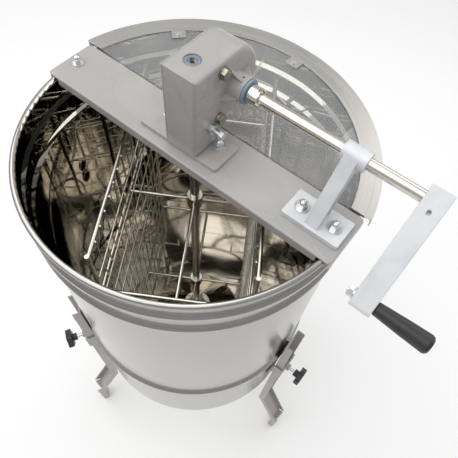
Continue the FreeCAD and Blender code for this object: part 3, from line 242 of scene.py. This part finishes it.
def tank_steel():
    finish, tree, shader = new_finish("brushed and polished tank steel", (0.62, 0.59, 0.55), 1.0, 0.3)
    place = own_place(tree)
    grain = use(tree, GRAIN, {"Position": stretched(tree, (GRAIN_ALONG, GRAIN_ALONG, GRAIN_ACROSS))})
    marks = use(tree, MARKS, {"Position": place, "Size": 5.0})
    facing = put(tree, "ShaderNodeVectorMath", {0: place, 1: (1.0, 1.0, 0.0)}, operation="MULTIPLY")
    normal = put(tree, "ShaderNodeNewGeometry").outputs["Normal"]
    outward = put(tree, "ShaderNodeVectorMath", {0: facing.outputs[0], 1: normal}, operation="DOT_PRODUCT")
    outside = spread(tree, outward.outputs["Value"], -0.01, 0.01)
    brushed = graded(tree, grain, 0.13, 0.23)
    smeared = sums(tree, "ADD", brushed, sums(tree, "MULTIPLY", marks.outputs["Mask"], 0.04))
    polished = spread(tree, marks.outputs["Mask"], 0.0, 1.0, 0.02, 0.05)
    rough = put(tree, "ShaderNodeMix", {0: outside, 2: polished, 3: smeared}, data_type="FLOAT")
    tree.links.new(rough.outputs[0], shader.inputs["Roughness"])
    streaked = blend_colour(tree, graded(tree, grain, 0.0, 1.0),
                            (0.35, 0.34, 0.325), (0.43, 0.42, 0.405))
    mirror = blend_colour(tree, marks.outputs["Mask"], (0.67, 0.645, 0.59), (0.60, 0.57, 0.505))
    tree.links.new(blend_colour(tree, outside, mirror, streaked), shader.inputs["Base Color"])
    ripple = put(tree, "ShaderNodeTexNoise", {"Vector": place, "Scale": 7.0, "Detail": 1.0})
    fine = sums(tree, "MULTIPLY", sums(tree, "MULTIPLY", grain.outputs["Grain"], 0.06), outside)
    raise_surface(tree, shader, sums(tree, "ADD", fine, ripple.outputs["Fac"]), 0.0004)
    return finish


def disc_steel(name, colour, low, high):
    """Stainless with its grain in rings round the cage's axis."""
    finish, tree, shader = new_finish(name, colour, 1.0, (low + high) / 2)
    grain = use(tree, GRAIN, {"Position": ringed(tree, GRAIN_ALONG, GRAIN_ACROSS)})
    marks = use(tree, MARKS, {"Position": stretched(tree, (1.0, 1.0, 1.0)), "Size": 7.0})
    rough = graded(tree, grain, low, high)
    tree.links.new(sums(tree, "ADD", rough, sums(tree, "MULTIPLY", marks.outputs["Mask"], 0.06)),
                   shader.inputs["Roughness"])
    darker = tuple(0.86 * part for part in colour)
    tree.links.new(blend_colour(tree, graded(tree, grain, 0.0, 1.0), darker, colour),
                   shader.inputs["Base Color"])
    edges = use(tree, EDGES, {"Width": 0.0008})
    raise_surface(tree, shader, grain.outputs["Grain"], 0.00003, edges.outputs["Soft normal"])
    return finish


TANK_STEEL = tank_steel()
FLOOR_STEEL = disc_steel("polished floor steel", (0.64, 0.60, 0.53), 0.03, 0.08)
LID_STEEL = disc_steel("brushed lid steel", (0.60, 0.58, 0.55), 0.24, 0.36)
print("sheet steels:", TANK_STEEL.name, FLOOR_STEEL.name, LID_STEEL.name)

# %% [markdown]
# ## Enamel and castings
# The crossbar, gearbox and legs are painted in a warm grey enamel.  Sprayed enamel is never flat: it
# has a faint orange-peel ripple, it thins to a paler line along edges, and dust dulls it in patches.
#
# The bearing stand and the crank arm are raw aluminium castings, tumbled to a pale matt skin with a
# fine sandy grain and a slightly brighter line wherever an edge has been handled.


# %% Enamel and cast aluminium
def enamel(name, colour, shine):
    finish, tree, shader = new_finish(name, colour, 0.0, shine)
    place = own_place(tree)
    peel = put(tree, "ShaderNodeTexNoise", {"Vector": place, "Scale": 420.0, "Detail": 2.0})
    marks = use(tree, MARKS, {"Position": place, "Size": 11.0})
    edges = use(tree, EDGES, {"Width": 0.0014})
    dusty = blend_colour(tree, sums(tree, "MULTIPLY", marks.outputs["Mask"], 0.35), colour,
                         tuple(min(1.0, 1.25 * part + 0.02) for part in colour))
    thin = sums(tree, "MULTIPLY", edges.outputs["Mask"], 0.4)
    tree.links.new(blend_colour(tree, thin, dusty, tuple(min(1.0, 1.35 * part) for part in colour)),
                   shader.inputs["Base Color"])
    tree.links.new(spread(tree, marks.outputs["Mask"], 0.0, 1.0, shine, shine + 0.16),
                   shader.inputs["Roughness"])
    shader.inputs["Coat Weight"].default_value = 0.25
    shader.inputs["Coat Roughness"].default_value = 0.25
    raise_surface(tree, shader, peel.outputs["Fac"], 0.00006, edges.outputs["Soft normal"])
    return finish


def cast_aluminium():
    finish, tree, shader = new_finish("tumbled cast aluminium", (0.62, 0.645, 0.68), 0.35, 0.5)
    place = own_place(tree)
    sand = put(tree, "ShaderNodeTexNoise", {"Vector": place, "Scale": 900.0, "Detail": 3.0})
    pits = put(tree, "ShaderNodeTexVoronoi", {"Vector": place, "Scale": 260.0})
    marks = use(tree, MARKS, {"Position": place, "Size": 22.0})
    edges = use(tree, EDGES, {"Width": 0.0018})
    skin = blend_colour(tree, marks.outputs["Mask"], (0.66, 0.68, 0.70), (0.56, 0.58, 0.60))
    tree.links.new(blend_colour(tree, sums(tree, "MULTIPLY", edges.outputs["Mask"], 0.6), skin,
                                (0.78, 0.80, 0.83)), shader.inputs["Base Color"])
    tree.links.new(spread(tree, sand.outputs["Fac"], 0.3, 0.7, 0.42, 0.58), shader.inputs["Roughness"])
    pitted = spread(tree, pits.outputs["Distance"], 0.0, 0.25, 0.0, 0.5)
    raise_surface(tree, shader, sums(tree, "ADD", sand.outputs["Fac"], pitted), 0.00014,
                  edges.outputs["Soft normal"])
    return finish


BOX_ENAMEL = enamel("warm grey enamel", (0.37, 0.355, 0.345), 0.26)
LEG_ENAMEL = enamel("brown grey leg enamel", (0.33, 0.305, 0.29), 0.34)
CASTING = cast_aluminium()
print("coats and castings:", BOX_ENAMEL.name, LEG_ENAMEL.name, CASTING.name)

# %% [markdown]
# ## Bright metal
# Bolts and screws are zinc plated, which is a cold bright grey with faint blue and straw patches.
# Shafts are ground, and grinding leaves fine rings that run round the shaft, so the grain is
# stretched the other way there.  The cage is welded from drawn wire and then electropolished.


# %% Zinc, ground shafts, cage wire, gear steel, nickel and bronze
def bright_metal(name, colour, tint, low, high, grain_scale, depth):
    """A machined or plated metal with grain along chosen axes and patches of a second tint."""
    finish, tree, shader = new_finish(name, colour, 1.0, (low + high) / 2)
    place = own_place(tree)
    grain = use(tree, GRAIN, {"Position": stretched(tree, grain_scale)})
    marks = use(tree, MARKS, {"Position": place, "Size": 60.0})
    edges = use(tree, EDGES, {"Width": 0.0005})
    tree.links.new(blend_colour(tree, marks.outputs["Mask"], colour, tint), shader.inputs["Base Color"])
    tree.links.new(graded(tree, grain, low, high), shader.inputs["Roughness"])
    raise_surface(tree, shader, grain.outputs["Grain"], depth, edges.outputs["Soft normal"])
    return finish


ZINC = bright_metal("zinc plate", (0.70, 0.73, 0.76), (0.68, 0.67, 0.60), 0.16, 0.30,
                    (300, 300, 300), 0.00003)
CRANK_STEEL = bright_metal("ground crank steel", (0.67, 0.64, 0.58), (0.60, 0.57, 0.51), 0.14, 0.26,
                           (700, 9, 9), 0.00003)
SHAFT_STEEL = bright_metal("ground cage shaft steel", (0.60, 0.57, 0.52), (0.52, 0.49, 0.44), 0.12, 0.24,
                           (9, 9, 700), 0.00003)
CAGE_STEEL = bright_metal("electropolished cage wire", (0.60, 0.565, 0.50), (0.52, 0.48, 0.41), 0.12, 0.24,
                          (160, 160, 160), 0.00004)
GEAR_STEEL = bright_metal("oiled gear steel", (0.42, 0.41, 0.40), (0.30, 0.29, 0.27), 0.20, 0.34,
                          (200, 200, 200), 0.00004)
NICKEL = bright_metal("dull nickel", (0.40, 0.37, 0.31), (0.28, 0.26, 0.20), 0.20, 0.32,
                      (500, 40, 40), 0.00003)
BRONZE = bright_metal("bush bronze", (0.60, 0.45, 0.27), (0.45, 0.32, 0.18), 0.26, 0.42,
                      (500, 40, 40), 0.00003)
print("bright metals made")

# %% [markdown]
# ## Plastics, rubber and the clear sheet
# The grip and the knobs are moulded in black nylon with a fine spark-eroded texture.  The gate is a
# milky food plastic.  The seals are blue-grey rubber.
#
# The lid's sheet is clear plastic that has been wiped and stacked for years.  It is a real 3 mm
# solid, so it bends light by itself.  Haze greys its colour in patches, and only the hair scratches
# are rough.


# %% Moulded black, milky gate plastic, seal rubber and clear sheet
def moulded(name, colour, shade, low, high, scale, depth):
    finish, tree, shader = new_finish(name, colour, 0.0, (low + high) / 2)
    place = own_place(tree)
    texture = put(tree, "ShaderNodeTexNoise", {"Vector": place, "Scale": scale, "Detail": 2.0})
    marks = use(tree, MARKS, {"Position": place, "Size": 35.0})
    edges = use(tree, EDGES, {"Width": 0.001})
    tree.links.new(blend_colour(tree, marks.outputs["Mask"], colour, shade), shader.inputs["Base Color"])
    tree.links.new(spread(tree, marks.outputs["Mask"], 0.0, 1.0, low, high), shader.inputs["Roughness"])
    raise_surface(tree, shader, texture.outputs["Fac"], depth, edges.outputs["Soft normal"])
    return finish


def clear_sheet():
    finish, tree, shader = new_finish("scratched clear sheet", (0.93, 0.94, 0.94), 0.0, 0.04)
    shader.inputs["Transmission Weight"].default_value = 0.91
    shader.inputs["IOR"].default_value = 1.46
    place = own_place(tree)
    scratches = use(tree, SCRATCHES, {"Position": place, "Size": 3.5, "Thinness": 0.0016})
    tree.links.new(sums(tree, "MULTIPLY", scratches.outputs["Mask"], 0.45), shader.inputs["Roughness"])
    haze = use(tree, MARKS, {"Position": place, "Size": 4.0})
    tree.links.new(blend_colour(tree, haze.outputs["Mask"], (0.94, 0.95, 0.95), (0.86, 0.87, 0.87)),
                   shader.inputs["Base Color"])
    through = put(tree, "ShaderNodeBsdfTransparent", {"Color": (0.9, 0.91, 0.91, 1.0)})
    shadow = put(tree, "ShaderNodeLightPath").outputs["Is Shadow Ray"]
    both_ways = put(tree, "ShaderNodeMixShader", {0: shadow, 1: shader.outputs[0], 2: through.outputs[0]})
    tree.links.new(both_ways.outputs[0], tree.nodes["Material Output"].inputs["Surface"])
    return finish


BLACK = moulded("moulded black nylon", (0.016, 0.016, 0.017), (0.030, 0.030, 0.031), 0.36, 0.52,
                 700.0, 0.0001)
GATE_PLASTIC = moulded("milky gate plastic", (0.74, 0.72, 0.64), (0.66, 0.63, 0.54), 0.34, 0.46,
                        300.0, 0.00004)
SEAL_BLUE = moulded("blue grey seal rubber", (0.20, 0.29, 0.38), (0.27, 0.35, 0.43), 0.48, 0.62,
                     500.0, 0.00005)
CLEAR = clear_sheet()
print("plastics made")

# %% [markdown]
# ## Dress the solids
# Each solid keeps its place and its mesh, and only its material is changed.  One table says which
# pieces are made of what.

# %% Give every solid its finish
SIDES = ("right", "left", "rear")
WORN_BY = {
    TANK_STEEL: ["tank_shell"],
    FLOOR_STEEL: ["tank_bottom", "outlet_spout"],
    LID_STEEL: ["lid_ring"],
    BOX_ENAMEL: ["crossbar", "gearbox_housing", "gearbox_cover", "bar_bracket_left", "bar_bracket_right"],
    LEG_ENAMEL: ["leg_" + side for side in SIDES] + ["leg_strap_" + side for side in SIDES],
    CASTING: ["shaft_pedestal", "crank_arm", "pivot_seat"],
    ZINC: ["bar_bolts", "bar_nuts", "gearbox_bolts", "cover_screws", "lock_bolt", "grip_bolt", "grip_nut",
           "arm_set_screw", "lid_rivets", "gate_pivot"]
          + ["stop_bolt_" + side for side in SIDES] + ["clamp_screw_" + side for side in SIDES],
    CRANK_STEEL: ["crank_shaft", "drive_sleeve", "drive_pin"],
    SHAFT_STEEL: ["cage_shaft", "pivot_ball"],
    CAGE_STEEL: ["upper_spider", "lower_spider", "basket_left", "basket_right"],
    GEAR_STEEL: ["drive_pinion", "drive_wheel", "cage_bearings", "crank_bearings"],
    NICKEL: ["oil_plugs"],
    BRONZE: ["pedestal_bush"],
    SEAL_BLUE: ["crank_seal"],
    BLACK: ["grip", "gate_screw"] + ["clamp_knob_" + side for side in SIDES],
    GATE_PLASTIC: ["gate_body", "gate_blade"],
    CLEAR: ["lid_window"],
}
for finish, names in WORN_BY.items():
    for name in names:
        slots = SOLIDS[name].data.materials
        slots.clear()
        slots.append(finish)
undressed = set(SOLIDS) - {name for names in WORN_BY.values() for name in names}
print("solids without a finish:", sorted(undressed))

# %% [markdown]
# ## Mesh helpers
# Small turned pieces, such as a bearing's shield, come from a *profile* swept round an axis, as on a
# lathe.  Welds and threads come from a round section carried along a line of points.


# %% Helpers for turned and swept pieces
def finished(name, mesh, finish, body):
    """Put a mesh in the scene with its material, on the CAD body that it moves with."""
    piece = bpy.data.objects.new(name, mesh)
    bpy.context.scene.collection.objects.link(piece)
    mesh.materials.append(finish)
    for face in mesh.polygons:
        face.use_smooth = True
    mesh.set_sharp_from_angle(angle=math.radians(38))
    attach(piece, body)


def turned(profile, steps=64):
    """A closed (radius, height) profile swept round Z."""
    shape = bmesh.new()
    rings = []
    for i in range(steps):
        angle = 2 * math.pi * i / steps
        rings.append([shape.verts.new((r * math.cos(angle), r * math.sin(angle), up)) for r, up in profile])
    for ring, following in zip(rings, rings[1:] + rings[:1]):
        for j in range(len(profile)):
            k = (j + 1) % len(profile)
            shape.faces.new((ring[j], following[j], following[k], ring[k]))
    bmesh.ops.recalc_face_normals(shape, faces=shape.faces)
    mesh = bpy.data.meshes.new("turned")
    shape.to_mesh(mesh)
    shape.free()
    return mesh


def carried(lines, radius, sides=8, wobble=0.0, closed=False):
    """A round bead carried along each line of points, with an uneven width if it is a weld."""
    shape = bmesh.new()
    for points in lines:
        points = [Vector(p) for p in points]
        rings = []
        last = len(points) - 1
        for i, here in enumerate(points):
            before = points[i - 1] if i or closed else here
            after = points[(i + 1) % len(points)] if i < last or closed else here
            along = (after - before).normalized()
            side = along.orthogonal() if not rings else (spare - along * spare.dot(along))
            side.normalize()
            spare = side.copy()
            up = along.cross(side)
            thick = radius * (1 + wobble * noise.noise(here * 900))
            rings.append([shape.verts.new(here + thick * (math.cos(a) * side + math.sin(a) * up))
                          for a in (2 * math.pi * j / sides for j in range(sides))])
        pairs = list(zip(rings, rings[1:] + rings[:1])) if closed else list(zip(rings, rings[1:]))
        for ring, following in pairs:
            for j in range(sides):
                k = (j + 1) % sides
                shape.faces.new((ring[j], following[j], following[k], ring[k]))
        if not closed:
            shape.faces.new(rings[0])
            shape.faces.new(rings[-1])
    bmesh.ops.recalc_face_normals(shape, faces=shape.faces)
    mesh = bpy.data.meshes.new("carried")
    shape.to_mesh(mesh)
    shape.free()
    return mesh


def circle(centre, radius, axis, steps):
    """Points round an axis, for a closed ring."""
    axis = Vector(axis).normalized()
    side = axis.orthogonal().normalized()
    other = axis.cross(side)
    return [Vector(centre) + radius * (math.cos(a) * side + math.sin(a) * other)
            for a in (2 * math.pi * i / steps for i in range(steps))]


# %% [markdown]
# ## The top bearing's seal, and the painted shade in the shaft's end
# The bearing that carries the cage shows in the gearbox's top as a blue-grey seal round a dark
# centre.  The seal sits in the bearing's shallow recess, so it is a ring with two raised lips.  The
# shaft's end has the small hole that it was turned on.  The hole is not cut; its shade is painted
# as a thin black ring laid on the shaft's end.

# %% Seal in the top bearing, and the painted shade of the hole in the shaft's end
SEAL_SECTION = ((0.0069, 0.0008), (0.0070, 0.0001), (0.0076, 0.0001), (0.0079, 0.0004),
                (0.0088, 0.0004), (0.0091, 0.0001), (0.0096, 0.0001), (0.0097, 0.0008))
# Size and height of the thin black ring that paints the shade of the shaft's centre hole
HOLE_SHADE_INNER, HOLE_SHADE_OUTER = 0.0006, 0.0030
HOLE_SHADE_FACE, HOLE_SHADE_BACK = 0.0004, 0.0001      # heights above the shaft's end

seal = turned([(radius, BEARING_TOP - sunk) for radius, sunk in SEAL_SECTION])
finished("top_bearing_seal", seal, SEAL_BLUE, "tank")
shaft_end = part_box("cage_shaft")[1].z
# Painted shade: a thin black ring just above the shaft's end stands where the hole would be dark
painted_hole_shade = turned([(HOLE_SHADE_INNER, shaft_end + HOLE_SHADE_BACK), (HOLE_SHADE_OUTER, shaft_end + HOLE_SHADE_BACK),
                      (HOLE_SHADE_OUTER, shaft_end + HOLE_SHADE_FACE), (HOLE_SHADE_INNER, shaft_end + HOLE_SHADE_FACE)])
finished("shaft_centre_hole_painted_shade", painted_hole_shade, BLACK, "cage")
print("bearing seal at height", round(BEARING_TOP, 4))

# %% [markdown]
# ## Threads on the clamp screws
# Each leg is held by a screw that shows between its knob and the strap.  A thread is a ridge wound
# round the screw: a line of points climbs one pitch in each turn, and a thin bead follows it.


# %% Wind a thread on each clamp screw
AZIMUTHS = {"right": 0.0, "rear": math.radians(120), "left": math.radians(-120)}
THREAD_START = 0.0110       # from the tank's wall
THREAD_LENGTH = 0.038
THREAD_RADIUS = 0.0039
THREAD_PITCH = 0.00125
THREAD_BEAD = 0.00035


def thread_line(start, direction, length, radius, pitch, steps=20):
    """Points of a helix that begins at start and winds along a direction."""
    direction = Vector(direction).normalized()
    side = direction.orthogonal().normalized()
    other = direction.cross(side)
    count = int(length / pitch * steps)
    return [Vector(start) + direction * (pitch * i / steps)
            + radius * (math.cos(2 * math.pi * i / steps) * side + math.sin(2 * math.pi * i / steps) * other)
            for i in range(count + 1)]


for side, azimuth in AZIMUTHS.items():
    outward = Vector((math.cos(azimuth), math.sin(azimuth), 0.0))
    low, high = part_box("clamp_screw_" + side)
    height = (low.z + high.z) / 2
    start = outward * (TANK_RADIUS + THREAD_START) + Vector((0, 0, height))
    line = thread_line(start, outward, THREAD_LENGTH, THREAD_RADIUS, THREAD_PITCH)
    ridge = carried([line], THREAD_BEAD, sides=5)
    finished("clamp_thread_" + side, ridge, ZINC, "knob_" + side)
print("threads wound on", list(AZIMUTHS))

# %% [markdown]
# ## Welds
# The cage's arms are welded into their hubs.  A weld is a small uneven ring of metal, so a bead with
# a wobbling width is carried round each joint.


# %% Weld the cage's arms to their hubs
CAGE_ANGLE = math.radians(-58)
HUB_RADIUS = 0.0132
ARM_WELD_RADIUS = 0.0031
WELD_BEAD = 0.0009

cage_x = Vector((math.cos(CAGE_ANGLE), math.sin(CAGE_ANGLE), 0.0))
cage_y = Vector((-cage_x.y, cage_x.x, 0.0))
hub_rings = []
for spider in ("upper_spider", "lower_spider"):
    low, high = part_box(spider)
    middle = (low.z + high.z) / 2
    for way in (cage_x, -cage_x, cage_y, -cage_y):
        centre = way * HUB_RADIUS + Vector((0, 0, middle))
        hub_rings.append(circle(centre, ARM_WELD_RADIUS, way, steps=18))
welds = carried(hub_rings, WELD_BEAD, sides=6, wobble=0.5, closed=True)
finished("hub_welds", welds, CAGE_STEEL, "cage")
print(len(hub_rings), "welds on the hubs")

# %% [markdown]
# ## Tank seam
# The tank is one sheet rolled up and welded down its back, then planished nearly flat.  The seam is
# a faint raised line on the side away from the crank.

# %% Weld seam down the tank's back
SEAM_ANGLE = math.radians(154)
SEAM_START = 0.006          # above the tank's lower edge
SEAM_BELOW_RIM = 0.125      # where the rim's beads begin
SEAM_STEPS = 60
SEAM_BEAD = 0.0007
LOW_BEAD_BELOW_RIM = 0.490  # the seam stops on each side of the tank's low bead
LOW_BEAD_HALF = 0.012

seam_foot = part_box("tank_shell")[0].z
seam_below, seam_above = [], []
for i in range(SEAM_STEPS + 1):
    height = seam_foot + SEAM_START + (RIM - SEAM_BELOW_RIM - seam_foot) * i / SEAM_STEPS
    above_bead = height - (RIM - LOW_BEAD_BELOW_RIM)
    if abs(above_bead) >= LOW_BEAD_HALF:
        stretch = seam_above if above_bead > 0 else seam_below
        stretch.append((TANK_RADIUS * math.cos(SEAM_ANGLE), TANK_RADIUS * math.sin(SEAM_ANGLE), height))
seam = carried([seam_below, seam_above], SEAM_BEAD, sides=6, wobble=0.25)
finished("tank_seam", seam, TANK_STEEL, "tank")
print("seam points", len(seam_below), "below the low bead and", len(seam_above), "above it")

# %% [markdown]
# ## Floor, light and camera
# The object stands on a plain pale floor under soft light.  Polished steel shows whatever is round
# it, so the light comes from a pale sky that is brightest overhead and from two large soft panels.

# %% Floor
FLOOR_HALF = 14
corners = [(x * FLOOR_HALF, y * FLOOR_HALF, 0) for x, y in ((-1, -1), (1, -1), (1, 1), (-1, 1))]
floor_mesh = bpy.data.meshes.new("floor")
floor_mesh.from_pydata(corners, [], [(0, 1, 2, 3)])
floor = bpy.data.objects.new("floor", floor_mesh)
bpy.context.scene.collection.objects.link(floor)
floor_finish, tree, shader = new_finish("pale studio floor", (0.90, 0.90, 0.90), 0.0, 0.9)
mottle = put(tree, "ShaderNodeTexNoise", {"Vector": stretched(tree, (0.4, 0.4, 0.4)), "Scale": 1.0})
tree.links.new(blend_colour(tree, mottle.outputs["Fac"], (0.95, 0.95, 0.95), (0.98, 0.98, 0.98)),
               shader.inputs["Base Color"])
floor_mesh.materials.append(floor_finish)

# %% Sky and soft panels
world = bpy.data.worlds.new("studio sky")
bpy.context.scene.world = world
world.use_nodes = True
tree = world.node_tree
direction = put(tree, "ShaderNodeTexCoord").outputs["Generated"]
height = put(tree, "ShaderNodeSeparateXYZ", {"Vector": direction}).outputs["Z"]
tone = spread(tree, height, -0.1, 0.9, 0.42, 0.74)
tree.links.new(tone, tree.nodes["Background"].inputs["Strength"])
tree.nodes["Background"].inputs["Color"].default_value = (1.0, 1.0, 1.0, 1.0)


def soft_panel(name, at, towards, size, watts):
    """A large flat light that faces a point."""
    lamp = bpy.data.lights.new(name, "AREA")
    lamp.shape = "RECTANGLE"
    lamp.size, lamp.size_y = size
    lamp.energy = watts
    panel = bpy.data.objects.new(name, lamp)
    bpy.context.scene.collection.objects.link(panel)
    panel.location = at
    panel.rotation_mode = "QUATERNION"
    panel.rotation_quaternion = (Vector(towards) - Vector(at)).to_track_quat("-Z", "Y")


soft_panel("key panel", (-0.9, -0.7, 3.3), (0, 0, 0.8), (3.6, 3.6), 62)
soft_panel("rear panel", (0.9, 1.9, 2.6), (0, 0, 0.9), (2.4, 1.4), 16)

# %% Camera above and in front of the crank, looking down into the tank
CAMERA_FROM_AXIS = (0.2976, -0.3359)
CAMERA_OVER_RIM = 0.5146
CAMERA_AHEAD = (-0.28147, 0.42682, -0.85942)
CAMERA_UPWARD = (-0.55742, 0.65629, 0.50849)
SENSOR_WIDTH, LENS_LENGTH = 36.0, 36.366   # millimetres

camera_data = bpy.data.cameras.new("camera")
camera_data.sensor_width = SENSOR_WIDTH
camera_data.lens = LENS_LENGTH
camera = bpy.data.objects.new("camera", camera_data)
bpy.context.scene.collection.objects.link(camera)
ahead = Vector(CAMERA_AHEAD).normalized()
rightward = ahead.cross(Vector(CAMERA_UPWARD)).normalized()
upward = rightward.cross(ahead)
facing = Matrix((rightward, upward, -ahead)).transposed().to_4x4()
camera.matrix_world = Matrix.Translation((*CAMERA_FROM_AXIS, RIM + CAMERA_OVER_RIM)) @ facing
camera_data.clip_start = 0.01
bpy.context.scene.camera = camera
bpy.context.scene.view_settings.view_transform = "Standard"
print("camera at", tuple(round(c, 3) for c in camera.location))
